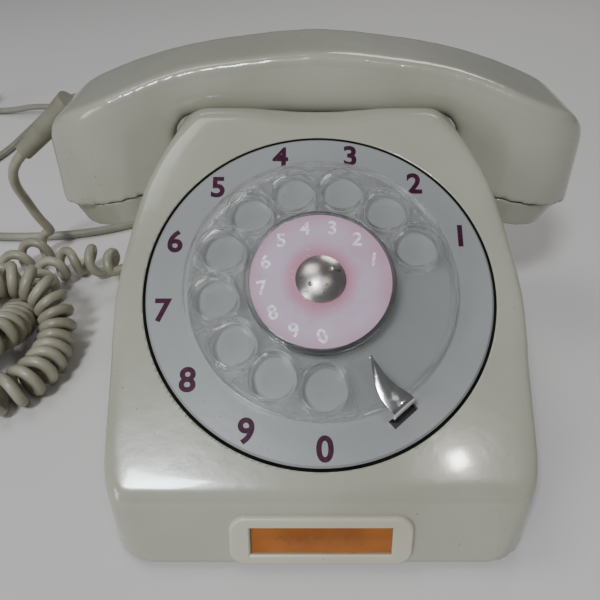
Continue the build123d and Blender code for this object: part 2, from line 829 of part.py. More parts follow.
plunger_top = grip_bottom_z - 0.3
plunger_low = 66.0
bar_thickness = 2.0
with BuildPart() as cradle_plungers:
    with BuildSketch(Plane.XY.offset(plunger_low + bar_thickness)):
        with Locations((plunger_x, plunger_y), (-plunger_x, plunger_y)):
            Circle(plunger_radius)
    extrude(amount=plunger_top - plunger_low - bar_thickness)
    fillet(cradle_plungers.edges().group_by(Axis.Z)[-1], 1.2)
cradle_plungers.part.label = "cradle_plungers"
export_step(cradle_plungers.part, "parts/cradle_plungers.step")

with BuildPart() as plunger_bar:
    with BuildSketch(Plane.XY.offset(plunger_low)):
        with Locations((0, plunger_y)):
            SlotOverall(2 * plunger_x + 10, 8.0)
    extrude(amount=bar_thickness)
plunger_bar.part.label = "plunger_bar"
export_step(plunger_bar.part, "parts/plunger_bar.step")

hook_pivot = Vector(0, 32.0, 58.0)
cheek_gap = 11.0
cheek_thickness = 1.5
pin_radius = 1.5
with BuildPart() as hook_bracket:
    with BuildSketch(Plane.XY.offset(base_top)):
        with Locations((0, hook_pivot.Y)):
            Rectangle(cheek_gap + 2 * cheek_thickness + 10, 12.0)
    extrude(amount=cheek_thickness)
    for side in (1, -1):
        with Locations((side * (cheek_gap + cheek_thickness) / 2, hook_pivot.Y, (base_top + hook_pivot.Z + 5) / 2)):
            Box(cheek_thickness, 9.0, hook_pivot.Z + 5 - base_top)
    with Locations(Plane(origin=hook_pivot, z_dir=(1, 0, 0))):
        Cylinder(pin_radius + running_gap, 40, mode=Mode.SUBTRACT)
hook_bracket.part.label = "hook_bracket"
export_step(hook_bracket.part, "parts/hook_bracket.step")

with BuildPart() as hook_pin:
    with Locations(Plane(origin=hook_pivot, z_dir=(1, 0, 0))):
        Cylinder(pin_radius, cheek_gap + 2 * cheek_thickness + 2)
hook_pin.part.label = "hook_pin"
export_step(hook_pin.part, "parts/hook_pin.step")

lever_reach = plunger_y - hook_pivot.Y
with BuildPart() as hook_lever:
    with Locations(Plane(origin=hook_pivot, z_dir=(1, 0, 0))):
        Cylinder(3.4, cheek_gap - 1.0)
    with Locations((0, hook_pivot.Y + lever_reach / 2, plunger_low - 2.2)):
        Box(6.0, lever_reach + 4, 3.0)
    with Locations((0, hook_pivot.Y, (hook_pivot.Z + plunger_low) / 2 - 1.0)):
        Box(6.0, 4.0, plunger_low - hook_pivot.Z - 2.0)
    with Locations(Plane(origin=hook_pivot, z_dir=(1, 0, 0))):
        Cylinder(pin_radius + running_gap, 40, mode=Mode.SUBTRACT)
hook_lever.part.label = "hook_lever"
export_step(hook_lever.part, "parts/hook_lever.step")

with BuildPart() as hook_contacts:
    with Locations((0, 18.0, base_top + 6.0)):
        Box(14.0, 8.0, 12.0)
    for level in (3.0, 6.0, 9.0):
        with Locations((0, 10.0, base_top + level)):
            Box(3.0, 16.0, 0.5)
hook_contacts.part.label = "hook_contacts"
export_step(hook_contacts.part, "parts/hook_contacts.step")

# ---------------------------------------------------------------- ringer

gong_x = 24.5
gong_y = 50.0
gong_radius = 19.0
gong_low = 20.0
gong_height = 9.0
gong_wall = 1.2
post_top = gong_low + gong_height + 1.0
clapper_pivot = (0.0, 78.0)
clapper_z = 24.0
coil_place = 12.5
with BuildPart() as ringer_frame:
    with BuildSketch(Plane.XY.offset(base_top)):
        with Locations((0, 62.0)):
            RectangleRounded(64.0, 40.0, 4.0)
    extrude(amount=1.5)
    with BuildSketch(Plane.XY.offset(base_top)):
        with Locations((gong_x, gong_y), (-gong_x, gong_y)):
            Circle(3.0)
    extrude(amount=gong_low + gong_height - gong_wall - base_top)
ringer_frame.part.label = "ringer_frame"
export_step(ringer_frame.part, "parts/ringer_frame.step")

with BuildPart() as ringer_coils:
    with BuildSketch(Plane.XY.offset(base_top + 1.5)):
        with Locations((coil_place, 75.0), (-coil_place, 75.0)):
            Circle(6.0)
    extrude(amount=22.0)
ringer_coils.part.label = "ringer_coils"
export_step(ringer_coils.part, "parts/ringer_coils.step")

with BuildPart() as ringer_gongs:
    with BuildSketch(Plane((gong_x, gong_y, 0), x_dir=(1, 0, 0), z_dir=(0, -1, 0))):
        with BuildLine():
            Line((0, gong_low + gong_height), (gong_radius * 0.45, gong_low + gong_height))
            ThreePointArc(
                (gong_radius * 0.45, gong_low + gong_height),
                (gong_radius * 0.86, gong_low + gong_height * 0.68),
                (gong_radius, gong_low),
            )
            Line((gong_radius, gong_low), (gong_radius - gong_wall, gong_low))
            ThreePointArc(
                (gong_radius - gong_wall, gong_low),
                (gong_radius * 0.86 - gong_wall, gong_low + gong_height * 0.68 - gong_wall * 0.7),
                (gong_radius * 0.42, gong_low + gong_height - gong_wall),
            )
            Line((gong_radius * 0.42, gong_low + gong_height - gong_wall), (0, gong_low + gong_height - gong_wall))
            Line((0, gong_low + gong_height - gong_wall), (0, gong_low + gong_height))
        make_face()
    revolve(axis=Axis((gong_x, gong_y, 0), (0, 0, 1)))
    mirror(about=Plane.YZ)
ringer_gongs.part.label = "ringer_gongs"
export_step(ringer_gongs.part, "parts/ringer_gongs.step")

with BuildPart() as gong_screws:
    with BuildSketch(Plane.XY.offset(gong_low + gong_height)):
        with Locations((gong_x, gong_y), (-gong_x, gong_y)):
            Circle(3.2)
    extrude(amount=1.8)
    with BuildSketch(Plane.XY.offset(gong_low + gong_height + 1.2)):
        with Locations((gong_x, gong_y), (-gong_x, gong_y)):
            Rectangle(7.0, 0.8)
    extrude(amount=1.0, mode=Mode.SUBTRACT)
gong_screws.part.label = "gong_screws"
export_step(gong_screws.part, "parts/gong_screws.step")

with BuildPart() as clapper_pin:
    with BuildSketch(Plane.XY.offset(base_top + 1.5)):
        with Locations(clapper_pivot):
            Circle(pin_radius)
    extrude(amount=30.0)
clapper_pin.part.label = "clapper_pin"
export_step(clapper_pin.part, "parts/clapper_pin.step")

armature_z = base_top + 1.5 + 22.0 + 1.0
with BuildPart() as clapper:
    with BuildSketch(Plane.XY.offset(clapper_z - 2)):
        with Locations(clapper_pivot):
            Circle(3.2)
    extrude(amount=armature_z + 2.0 - clapper_z + 2)
    with Locations((0, 76.0, armature_z + 1.0)):
        Box(34.0, 5.0, 2.0)
    with Locations((0, (gong_y + clapper_pivot[1]) / 2, clapper_z)):
        Box(1.6, clapper_pivot[1] - gong_y, 1.6)
    with Locations((0, gong_y, clapper_z)):
        Sphere(2.4)
    with BuildSketch(Plane.XY):
        with Locations(clapper_pivot):
            Circle(pin_radius + running_gap)
    extrude(amount=reach, mode=Mode.SUBTRACT)
clapper.part.label = "clapper"
export_step(clapper.part, "parts/clapper.step")

# ---------------------------------------------------------------- circuit board and terminals

board_top = base_top + stud_height + board_thickness
with BuildPart() as circuit_board:
    with BuildSketch(Plane.XY.offset(base_top + stud_height)):
        with Locations(board_centre):
            RectangleRounded(*board_size, 1.5)
    extrude(amount=board_thickness)
circuit_board.part.label = "circuit_board"
export_step(circuit_board.part, "parts/circuit_board.step")

with BuildPart() as capacitor:
    with Locations(Plane(origin=(-20, board_centre[1] - 4, board_top + 5.0), z_dir=(1, 0, 0))):
        Cylinder(5.0, 26.0)
capacitor.part.label = "capacitor"
export_step(capacitor.part, "parts/capacitor.step")

with BuildPart() as induction_coil:
    with Locations((18.0, board_centre[1] - 2, board_top + 5.5)):
        Box(20.0, 15.0, 11.0)
    with Locations((18.0, board_centre[1] - 2, board_top + 5.5)):
        Cylinder(4.5, 22.0, rotation=(90, 0, 0))
induction_coil.part.label = "induction_coil"
export_step(induction_coil.part, "parts/induction_coil.step")

terminal_x = 34.0
terminal_y = 18.0
terminal_height = 9.0
with BuildPart() as terminal_block:
    with Locations((terminal_x, terminal_y, base_top + terminal_height / 2)):
        Box(12.0, 34.0, terminal_height)
    for i in range(4):
        with Locations((terminal_x, terminal_y + 8.0 * (i - 1.5), base_top + terminal_height)):
            Box(13.0, 5.0, 3.0, mode=Mode.SUBTRACT)
terminal_block.part.label = "terminal_block"
export_step(terminal_block.part, "parts/terminal_block.step")

with BuildPart() as terminal_screws:
    for i in range(4):
        with Locations((terminal_x, terminal_y + 8.0 * (i - 1.5), base_top + terminal_height - 0.7)):
            Cylinder(2.0, 1.6)
        with Locations((terminal_x, terminal_y + 8.0 * (i - 1.5), base_top + terminal_height + 0.1)):
            Box(5.0, 0.6, 0.8, mode=Mode.SUBTRACT)
terminal_screws.part.label = "terminal_screws"
export_step(terminal_screws.part, "parts/terminal_screws.step")

# ---------------------------------------------------------------- cord glands


def gland(origin, direction, length, tip_radius):
    """A rubber strain relief: a flange inside the wall, a neck through it and a taper outside."""
    flange_back = 1.5 * wall
    with BuildPart() as body:
        with BuildSketch(Plane(origin=origin - direction * flange_back, z_dir=direction)):
            Circle(gland_radius + 1.6)
        extrude(amount=0.8 * wall)
        with BuildSketch(Plane(origin=origin - direction * flange_back, z_dir=direction)):
            Circle(gland_radius)
        extrude(amount=3 * wall)
        with BuildSketch(Plane(origin=origin + direction * 1.5 * wall, z_dir=direction)):
            Circle(gland_radius)
        with BuildSketch(Plane(origin=origin + direction * length, z_dir=direction)):
            Circle(tip_radius)
        loft()
    return body.part


line_gland_length = 22.0
curl_gland_length = 20.0
line_gland = gland(line_exit, Vector(0, 1, 0), line_gland_length, line_diameter / 2 + 0.5)
line_gland.label = "line_gland"
export_step(line_gland, "parts/line_gland.step")
curl_gland = gland(curl_exit, Vector(-1, 0, 0), curl_gland_length, curl_diameter / 2 + 0.5)
curl_gland.label = "curl_gland"
export_step(curl_gland, "parts/curl_gland.step")

# ---------------------------------------------------------------- cords


def corner_radii(points):
    """The largest arcs that fit: 0.45 of the shorter run over the tangent of half the turn."""
    radii = []
    for before, here, after in zip(points, points[1:], points[2:]):
        into = Vector(*here) - Vector(*before)
        out = Vector(*after) - Vector(*here)
        turn = radians(into.get_angle(out))
        radii.append(0.45 * min(into.length, out.length) / tan(turn / 2))
    return radii


def cord_tube(name, points, diameter):
    """A round tube of straight runs joined by arcs, with its smallest arc printed."""
    radii = corner_radii(points)
    print(name, "arc radii", [round(r, 1) for r in radii])
    with BuildPart() as tube:
        with BuildLine():
            route = FilletPolyline(*points, radius=radii)
        with BuildSketch(Plane(origin=route @ 0, z_dir=route % 0)):
            Circle(diameter / 2)
        sweep()
    length = route.length
    print(name, "length", round(length, 1), "volume ratio", round(tube.part.volume / (length * pi * diameter**2 / 4), 4))
    return tube.part


boot_tip = boot_exit + boot_direction * boot_length
tail_points = [
    tuple(boot_tip + boot_direction * 0.02),
    tuple(boot_tip + boot_direction * 10),
    (boot_tip.X - 11.2, 79.5, 47.0),
    (boot_tip.X - 11.2, 87.0, 35.5),
    (boot_tip.X - 8.2, 91.5, 24.0),
    (-132.5, 93.0, 12.0),
]
curl_a_points = [
    (-128.5, 98.5, 9.0),
    (-136.0, 86.5, 9.0),
    (-143.0, 72.5, 9.0),
    (-148.0, 57.5, 9.0),
    (-150.5, 42.5, 10.0),
]
curl_b_points = [
    (curl_exit.X - curl_gland_length - 0.05, curl_exit.Y, curl_exit.Z),
    (curl_exit.X - curl_gland_length - 11.0, curl_exit.Y, curl_exit.Z),
    (-105.5, 74.5, 9.5),
    (-117.5, 75.5, 9.0),
    (-125.5, 65.0, 9.0),
    (-127.5, 52.0, 10.0),
    (-126.5, 39.5, 11.5),
]
curl_a = cord_tube("handset_cord_stretch_a", curl_a_points, curl_outer)
curl_b = cord_tube("handset_cord_stretch_b", curl_b_points, curl_outer)
with BuildPart() as curl_stretches:
    add(curl_a)
    add(curl_b)
curl_stretches.part.label = "handset_cord_stretches"
export_step(curl_stretches.part, "parts/handset_cord_stretches.step")

tail = cord_tube("handset_cord_tail", tail_points, curl_diameter)
with BuildPart() as cord_tail:
    add(tail)
    add(curl_a, mode=Mode.SUBTRACT)
cord_tail.part.label = "handset_cord_tail"
export_step(cord_tail.part, "parts/handset_cord_tail.step")

heap_low = (-160.5, -31.0)
heap_high = (-98.0, 42.0)
heap_height = 37.0
with BuildPart() as heap:
    with BuildSketch(Plane.XY.offset(0.2)):
        with Locations(((heap_low[0] + heap_high[0]) / 2, (heap_low[1] + heap_high[1]) / 2)):
            RectangleRounded(heap_high[0] - heap_low[0], heap_high[1] - heap_low[1], 22.0)
    extrude(amount=18.0)
    with BuildSketch(Plane.XY.offset(18.2)):
        with Locations(((heap_low[0] + heap_high[0]) / 2, (heap_low[1] + heap_high[1]) / 2)):
            RectangleRounded(heap_high[0] - heap_low[0], heap_high[1] - heap_low[1], 22.0)
    extrude(amount=heap_height - 18.2, taper=24)
    add(curl_a, mode=Mode.SUBTRACT)
    add(curl_b, mode=Mode.SUBTRACT)
heap.part.label = "handset_cord_heap"
export_step(heap.part, "parts/handset_cord_heap.step")

line_tip = line_exit + Vector(0, 1, 0) * (line_gland_length + 0.02)
line_points = [
    tuple(line_tip),
    (line_exit.X, 119.0, line_exit.Z),
    (-41.0, 133.0, 6.0),
    (-60.0, 139.0, line_z),
    (-88.0, 129.0, line_z),
    (-118.0, 113.0, line_z),
    (-150.0, 108.0, line_z),
    (-182.0, 109.5, line_z),
    (-207.0, 121.0, line_z),
    (-222.0, 142.0, line_z),
    (-224.0, 168.0, line_z),
    (-214.0, 195.0, line_z),
    (-206.0, 225.0, line_z),
    (-204.5, 258.0, line_z),
    (-203.0, 290.0, line_z),
    (-204.0, 318.0, line_z),
    (-193.0, 341.0, line_z),
    (-171.0, 347.0, line_z),
    (-153.0, 334.0, line_z),
    (-151.5, 313.0, line_z),
    (-167.0, 298.5, line_z),
    (-187.0, 296.0, 7.6),
    (-211.0, 299.5, 7.6),
    (-233.0, 303.0, line_z),
    (-259.0, 302.0, line_z),
]
line_cord = cord_tube("line_cord", line_points, line_diameter)
line_cord.label = "line_cord"
export_step(line_cord, "parts/line_cord.step")

ring_mid_radius = 25.0
ring_band = 4.7
ring_centre = (-284.0, 275.5)
ring_height = 13.8
with BuildPart() as line_coil:
    with BuildSketch(Plane.XY.offset(0.15)):
        with Locations(ring_centre):
            Circle(ring_mid_radius + ring_band)
            Circle(ring_mid_radius - ring_band, mode=Mode.SUBTRACT)
    extrude(amount=ring_height - 0.15)
    fillet(line_coil.edges(), 2.0)
    add(line_cord, mode=Mode.SUBTRACT)
line_coil.part.label = "line_cord_coil"
export_step(line_coil.part, "parts/line_cord_coil.step")

plug_size = (26.0, 30.0, 13.0)
plug_centre = Vector(ring_centre[0] + 18.0, ring_centre[1] + 22.0, ring_height + plug_size[2] / 2)
with BuildPart() as plug_body:
    with Locations(plug_centre):
        Box(*plug_size)
    fillet(plug_body.edges().filter_by(Axis.Z), 3.0)
    chamfer(plug_body.edges().group_by(Axis.Z)[-1], 0.8)
plug_body.part.label = "plug_body"
export_step(plug_body.part, "parts/plug_body.step")

with BuildPart() as plug_pins:
    with BuildSketch(Plane.XZ.offset(-(plug_centre.Y + plug_size[1] / 2))):
        with Locations((plug_centre.X, plug_centre.Z)):
            with GridLocations(12.0, 5.0, 2, 2):
                Rectangle(3.4, 1.2)
    extrude(amount=-11.0)
plug_pins.part.label = "plug_pins"
export_step(plug_pins.part, "parts/plug_pins.step")

plug_boot_length = 20.0
plug_back = Vector(plug_centre.X, plug_centre.Y - plug_size[1] / 2, plug_centre.Z)
with BuildPart() as plug_boot:
    with BuildSketch(Plane(origin=plug_back, z_dir=(0, -1, 0))):
        Circle(4.6)
    with BuildSketch(Plane(origin=plug_back - Vector(0, plug_boot_length, 0), z_dir=(0, -1, 0))):
        Circle(line_diameter / 2 + 0.5)
    loft()
plug_boot.part.label = "plug_boot"
export_step(plug_boot.part, "parts/plug_boot.step")
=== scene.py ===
import json
import math

import bpy
import numpy as np
from mathutils import Matrix, Vector


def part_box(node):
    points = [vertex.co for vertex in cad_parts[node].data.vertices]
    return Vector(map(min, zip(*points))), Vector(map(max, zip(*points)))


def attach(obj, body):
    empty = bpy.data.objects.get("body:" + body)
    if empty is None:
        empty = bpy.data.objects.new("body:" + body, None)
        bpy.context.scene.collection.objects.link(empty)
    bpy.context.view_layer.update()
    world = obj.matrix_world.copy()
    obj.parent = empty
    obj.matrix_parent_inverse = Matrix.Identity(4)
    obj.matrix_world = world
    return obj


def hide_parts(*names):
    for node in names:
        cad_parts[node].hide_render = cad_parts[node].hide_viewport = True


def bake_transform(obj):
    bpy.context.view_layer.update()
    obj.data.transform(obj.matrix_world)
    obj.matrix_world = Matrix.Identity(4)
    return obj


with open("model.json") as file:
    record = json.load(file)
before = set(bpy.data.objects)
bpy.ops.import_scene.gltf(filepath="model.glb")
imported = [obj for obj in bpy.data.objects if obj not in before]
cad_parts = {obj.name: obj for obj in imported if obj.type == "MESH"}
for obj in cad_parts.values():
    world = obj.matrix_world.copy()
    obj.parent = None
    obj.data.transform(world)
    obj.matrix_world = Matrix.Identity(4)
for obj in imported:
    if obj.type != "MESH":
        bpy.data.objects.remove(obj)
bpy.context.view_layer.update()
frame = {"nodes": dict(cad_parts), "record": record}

# ---- room -------------------------------------------------------------------
# The telephone stands on a plain pale table top. A front window is the main
# light, four others are weaker, and the phone is seen from close by.
table_mesh = bpy.data.meshes.new("table_top")
table_mesh.from_pydata([(-3, -2, 0), (3, -2, 0), (3, 4, 0), (-3, 4, 0)], [], [(0, 1, 2, 3)])
table = bpy.data.objects.new("table_top", table_mesh)
bpy.context.collection.objects.link(table)
table_paint = bpy.data.materials.new("table_paint")
table_paint.use_nodes = True
table_paint.node_tree.nodes["Principled BSDF"].inputs["Base Color"].default_value = (0.62, 0.60, 0.58, 1)
table_paint.node_tree.nodes["Principled BSDF"].inputs["Roughness"].default_value = 0.65
table_mesh.materials.append(table_paint)

room = bpy.data.worlds.new("room")
room.use_nodes = True
room.node_tree.nodes["Background"].inputs["Color"].default_value = (0.90, 0.93, 1.0, 1)
room.node_tree.nodes["Background"].inputs["Strength"].default_value = 0.135
bpy.context.scene.world = room


def window(name, place, target, size, power, colour):
    """A soft rectangular light that faces a point."""
    light = bpy.data.lights.new(name, "AREA")
    light.shape = "RECTANGLE"
    light.size, light.size_y = size
    light.energy = power
    light.color = colour
    lamp = bpy.data.objects.new(name, light)
    lamp.location = place
    lamp.rotation_euler = (Vector(target) - Vector(place)).to_track_quat("-Z", "Y").to_euler()
    bpy.context.collection.objects.link(lamp)


window("window_front_left", (-0.31, -0.78, 0.98), (0, -0.05, 0.05), (0.18, 0.22), 10.0, (0.90, 0.95, 1.0))
window("lamp_front_right", (0.316, -0.647, 1.046), (0, -0.05, 0.05), (0.03, 0.03), 0.7, (1.0, 0.98, 0.94))
window("window_behind", (0.35, 0.85, 0.75), (0, 0, 0.08), (0.50, 0.35), 2.2, (1.0, 0.98, 0.95))
window("door_front", (-1.02, -1.23, 0.40), (0, 0.05, 0.08), (0.35, 0.8), 6.0, (0.92, 0.96, 1.0))
window("ceiling", (-0.5, 0.2, 1.3), (0, 0, 0), (0.6, 0.6), 3.6, (1.0, 1.0, 1.0))

camera_data = bpy.data.cameras.new("camera")
camera_data.lens = 39.0
camera_data.sensor_width = 36.0
camera = bpy.data.objects.new("camera", camera_data)
camera.location = (-0.0062, -0.196, 0.180)
camera.rotation_euler = (math.radians(90 - 35.8), 0, 0)
camera_data.clip_start = 0.01
bpy.context.collection.objects.link(camera)
bpy.context.scene.camera = camera

# ---- housing ----------------------------------------------------------------
# One moulding in warm grey plastic, glossy and aged: its corners and edges are
# rounded by the mould, and dust, scuffs and small dark specks mark its skin.


class Socket:
    """One output in a material. Its operators add Math nodes, so that a mask reads as an expression."""

    def __init__(self, tree, out=None):
        self.tree = tree
        self.out = out

    def node(self, kind, settings, sockets, output=0):
        """A node of a kind: its settings are set first, then the values or links of its sockets."""
        made = self.tree.nodes.new(kind)
        for name, value in settings.items():
            setattr(made, name, value)
        for name, value in sockets.items():
            if isinstance(value, Socket):
                self.tree.links.new(value.out, made.inputs[name])
            else:
                made.inputs[name].default_value = value
        return Socket(self.tree, made.outputs[output])

    def maths(self, operation, first, second):
        return self.node("ShaderNodeMath", {"operation": operation}, {0: first, 1: second})

    def __add__(self, other):
        return self.maths("ADD", self, other)

    def __sub__(self, other):
        return self.maths("SUBTRACT", self, other)

    def __rsub__(self, other):
        return self.maths("SUBTRACT", other, self)

    def __mul__(self, other):
        return self.maths("MULTIPLY", self, other)

    __radd__ = __add__
    __rmul__ = __mul__

    def noise(self, scale, detail=3.0):
        """A cloudy value, about 0 to 1, that many times a metre."""
        return self.node("ShaderNodeTexNoise", {}, {"Vector": self, "Scale": scale, "Detail": detail})

    def stretched(self, x, y, z):
        """The place, scaled by its own number along each axis."""
        return self.node("ShaderNodeVectorMath", {"operation": "MULTIPLY"}, {0: self, 1: (x, y, z)})

    def away_from(self, point):
        """Distance to a point of the telephone, in metres."""
        return self.node(
            "ShaderNodeVectorMath", {"operation": "DISTANCE"}, {0: self, 1: tuple(point)}, output="Value"
        )

    def between(self, low, high):
        """0 below low, 1 above high, and smooth in between."""
        return self.node(
            "ShaderNodeMapRange",
            {"interpolation_type": "SMOOTHSTEP"},
            {"Value": self, "From Min": low, "From Max": high},
        )

    def mix(self, first, second):
        """The first colour where this is 0, the second where it is 1."""
        return self.node("ShaderNodeMix", {"data_type": "RGBA"}, {0: self, 6: first, 7: second}, output=2)


def finish(name, colour, roughness, height=None, depth=0.0, **fixed):
    """A material. Colour, roughness and height are functions of the place; the rest is the same all over."""
    made = bpy.data.materials.new(name)
    made.use_nodes = True
    shader = made.node_tree.nodes["Principled BSDF"]
    place = Socket(made.node_tree).node("ShaderNodeTexCoord", {}, {}, output="Object")
    made.node_tree.links.new(colour(place).out, shader.inputs["Base Color"])
    made.node_tree.links.new(roughness(place).out, shader.inputs["Roughness"])
    if height:
        relief = {"Height": height(place), "Distance": depth, "Strength": 1.0}
        bump = place.node("ShaderNodeBump", {}, relief)
        made.node_tree.links.new(bump.out, shader.inputs["Normal"])
    for socket, value in fixed.items():
        shader.inputs[socket.replace("_", " ")].default_value = value
    return made


def aged(clean, dull, speck):
    """Plastic that has yellowed in clouds, with a few dark specks."""

    def colour(place):
        clouds = place.noise(18, 4).between(0.35, 0.7)
        specks = place.noise(900, 2).between(0.735, 0.76) * place.noise(25, 2).between(0.45, 0.6)
        return specks.mix(clouds.mix(clean, dull), speck)

    return colour


def handled(low, spread):
    """Gloss that is duller where hands and dust have been."""
    return lambda place: low + spread * place.noise(35, 5).between(0.3, 0.75) + 0.04 * place.noise(600, 2)


housing_plastic = finish(
    "housing_plastic",
    aged((0.370, 0.362, 0.292, 1), (0.318, 0.308, 0.240, 1), (0.10, 0.08, 0.06, 1)),
    handled(0.13, 0.12),
    lambda place: place.noise(170, 3) + 0.10 * place.noise(1500, 2),
    0.00005,
    Coat_Weight=0.5,
    Coat_Roughness=0.06,
)


def paint(material, *nodes):
    """Gives CAD pieces a finish."""
    for node in nodes:
        piece = frame["nodes"][node]
        if not piece.material_slots:
            piece.data.materials.append(None)
        for place in piece.material_slots:
            place.link = "OBJECT"
            place.material = material


def settle(obj):
    """Turns what a piece's modifiers make into its own mesh."""
    mesh = bpy.data.meshes.new_from_object(obj.evaluated_get(bpy.context.evaluated_depsgraph_get()))
    obj.modifiers.clear()
    obj.data = mesh
    return obj


def softened(node, voxel, passes, freedom, extra=None):
    """A copy of a CAD piece with moulded edges. freedom says how far each point may move, from 0 to 1."""
    source = frame["nodes"][node]
    copy = bpy.data.objects.new(node + "_moulded", source.data.copy())
    bpy.context.collection.objects.link(copy)
    if extra:
        join = copy.modifiers.new("plug", "BOOLEAN")
        join.operation = "UNION"
        join.object = extra
        settle(copy)
    even = copy.modifiers.new("even", "REMESH")
    even.mode = "VOXEL"
    even.voxel_size = voxel
    settle(copy)
    group = copy.vertex_groups.new(name="free")
    for vertex in copy.data.vertices:
        group.add([vertex.index], freedom(vertex.co), "REPLACE")
    smooth = copy.modifiers.new("smooth", "SMOOTH")
    smooth.factor = 0.5
    smooth.iterations = passes
    smooth.vertex_group = "free"
    settle(copy)
    copy.vertex_groups.clear()
    return copy


def drum(name, origin, axis, radius, low, high, sides=160):
    """A plain round cutter along an axis."""
    turn = axis.to_track_quat("Z", "Y").to_matrix()
    points = []
    for height in (low, high):
        for i in range(sides):
            angle = 2 * math.pi * i / sides
            spoke = Vector((radius * math.cos(angle), radius * math.sin(angle), height))
            points.append(origin + turn @ spoke)
    faces = [tuple(reversed(range(sides))), tuple(range(sides, 2 * sides))]
    faces += [(i, (i + 1) % sides, sides + (i + 1) % sides, sides + i) for i in range(sides)]
    mesh = bpy.data.meshes.new(name)
    mesh.from_pydata([tuple(p) for p in points], [], faces)
    return bpy.data.objects.new(name, mesh)


def cut(obj, cutter):
    """Takes a cutter's space out of a piece."""
    bpy.context.collection.objects.link(cutter)
    away = obj.modifiers.new("cut", "BOOLEAN")
    away.operation = "DIFFERENCE"
    away.object = cutter
    settle(obj)
    bpy.data.objects.remove(cutter)


def dress(obj, material, body):
    """Gives a new piece its finish and its body."""
    obj.data.materials.clear()
    obj.data.materials.append(material)
    if obj.type == "MESH":
        obj.data.shade_smooth()
    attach(obj, body)


dial = frame["record"]["behaviour"]["joints"][0]
dial_centre = Vector(dial["pos_m"])
dial_normal = Vector(dial["axis"]).normalized()
dial_up = dial_normal.cross(Vector((1, 0, 0)))
opening_radius = 0.05605
wall = 0.0028
rim_height = 0.002


def housing_freedom(point):
    """The foot rim stays sharp, and the rest is free."""
    return min(max((point.z - rim_height - 0.001) / 0.006, 0.0), 1.0)


opening_plug = drum("opening_plug", dial_centre, dial_normal, opening_radius + 0.0015, -wall, 0.0)
bpy.context.collection.objects.link(opening_plug)
housing = softened("housing", 0.0010, 46, housing_freedom, opening_plug)
bpy.data.objects.remove(opening_plug)
cut(housing, drum("opening", dial_centre, dial_normal, opening_radius, -0.02, 0.03))
dress(housing, housing_plastic, "root")
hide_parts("housing")

# ---- label holder -----------------------------------------------------------
# A pale frame glued to the apron holds an amber card under a clear strip. The
# card carries a short line of pencil, worn and hard to read.
frame_plastic = finish(
    "frame_plastic",
    aged((0.50, 0.475, 0.37, 1), (0.44, 0.41, 0.31, 1), (0.12, 0.09, 0.06, 1)),
    handled(0.26, 0.12),
    lambda place: place.noise(700, 2),
    0.00003,
)
amber_card = finish(
    "amber_card",
    lambda place: place.noise(60, 4).between(0.3, 0.7).mix((0.46, 0.16, 0.022, 1), (0.34, 0.10, 0.014, 1)),
    lambda place: 0.55 + 0.15 * place.noise(300),
    lambda place: place.noise(1500, 3),
    0.00002,
)
paint(frame_plastic, "label_frame")
paint(amber_card, "label_card")


def eased(node, width, angle=40):
    """Breaks a CAD piece's sharp edges."""
    bevel = frame["nodes"][node].modifiers.new("eased", "BEVEL")
    bevel.width = width
    bevel.segments = 2
    bevel.limit_method = "ANGLE"
    bevel.angle_limit = math.radians(angle)
    bevel.use_clamp_overlap = True


card_low, card_high = (Vector(corner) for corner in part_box("label_card"))
card_lean = math.atan2(card_high.y - card_low.y, card_high.z - card_low.z)
pencil = finish(
    "pencil",
    lambda place: place.noise(900).between(0.3, 0.6).mix((0.16, 0.09, 0.03, 1), (0.32, 0.16, 0.05, 1)),
    lambda place: 0.5 + 0.1 * place.noise(200),
)
pencil_points = []
for i in range(90):
    along = i / 89
    x = (along - 0.5) * 0.026
    wave = 0.0016 * math.sin(38 * along) * (0.6 + 0.4 * math.sin(9 * along)) + 0.0006 * math.sin(71 * along)
    up = Vector((0, math.sin(card_lean), math.cos(card_lean)))
    out = Vector((0, -math.cos(card_lean), math.sin(card_lean)))
    middle = (card_low + card_high) / 2
    pencil_points.append(middle + Vector((x, 0, 0)) + up * wave + out * 0.00022)
pencil_curve = bpy.data.curves.new("pencil_line", "CURVE")
pencil_curve.dimensions = "3D"
pencil_spline = pencil_curve.splines.new("POLY")
pencil_spline.points.add(len(pencil_points) - 1)
for point, place in zip(pencil_spline.points, pencil_points):
    point.co = (*place, 1)
pencil_curve.bevel_depth = 0.00016
pencil_curve.bevel_resolution = 0
pencil_line = bpy.data.objects.new("pencil_line", pencil_curve)
bpy.context.collection.objects.link(pencil_line)
dress(pencil_line, pencil, "root")

# ---- base, feet and screws --------------------------------------------------
# A pressed zinc plated plate closes the bottom; four rubber feet are glued in
# its corners, and four long screws hold it to bosses in the housing.
zinc_steel = finish(
    "zinc_steel",
    lambda place: place.noise(120, 4).between(0.3, 0.7).mix((0.50, 0.50, 0.48, 1), (0.38, 0.38, 0.37, 1)),
    lambda place: 0.30 + 0.2 * place.noise(400, 4),
    lambda place: place.stretched(1, 12, 1).noise(300, 2),
    0.00003,
    Metallic=1.0,
)
black_rubber = finish(
    "black_rubber",
    lambda place: place.noise(200).between(0.3, 0.7).mix((0.018, 0.018, 0.018, 1), (0.035, 0.034, 0.032, 1)),
    lambda place: 0.6 + 0.2 * place.noise(500),
    lambda place: place.noise(2500, 2),
    0.00005,
)
paint(zinc_steel, "base_plate", "housing_screws", "clapper_pin", "hook_pin", "hook_bracket", "hook_lever")
paint(black_rubber, "rubber_feet")
eased("rubber_feet", 0.0005)
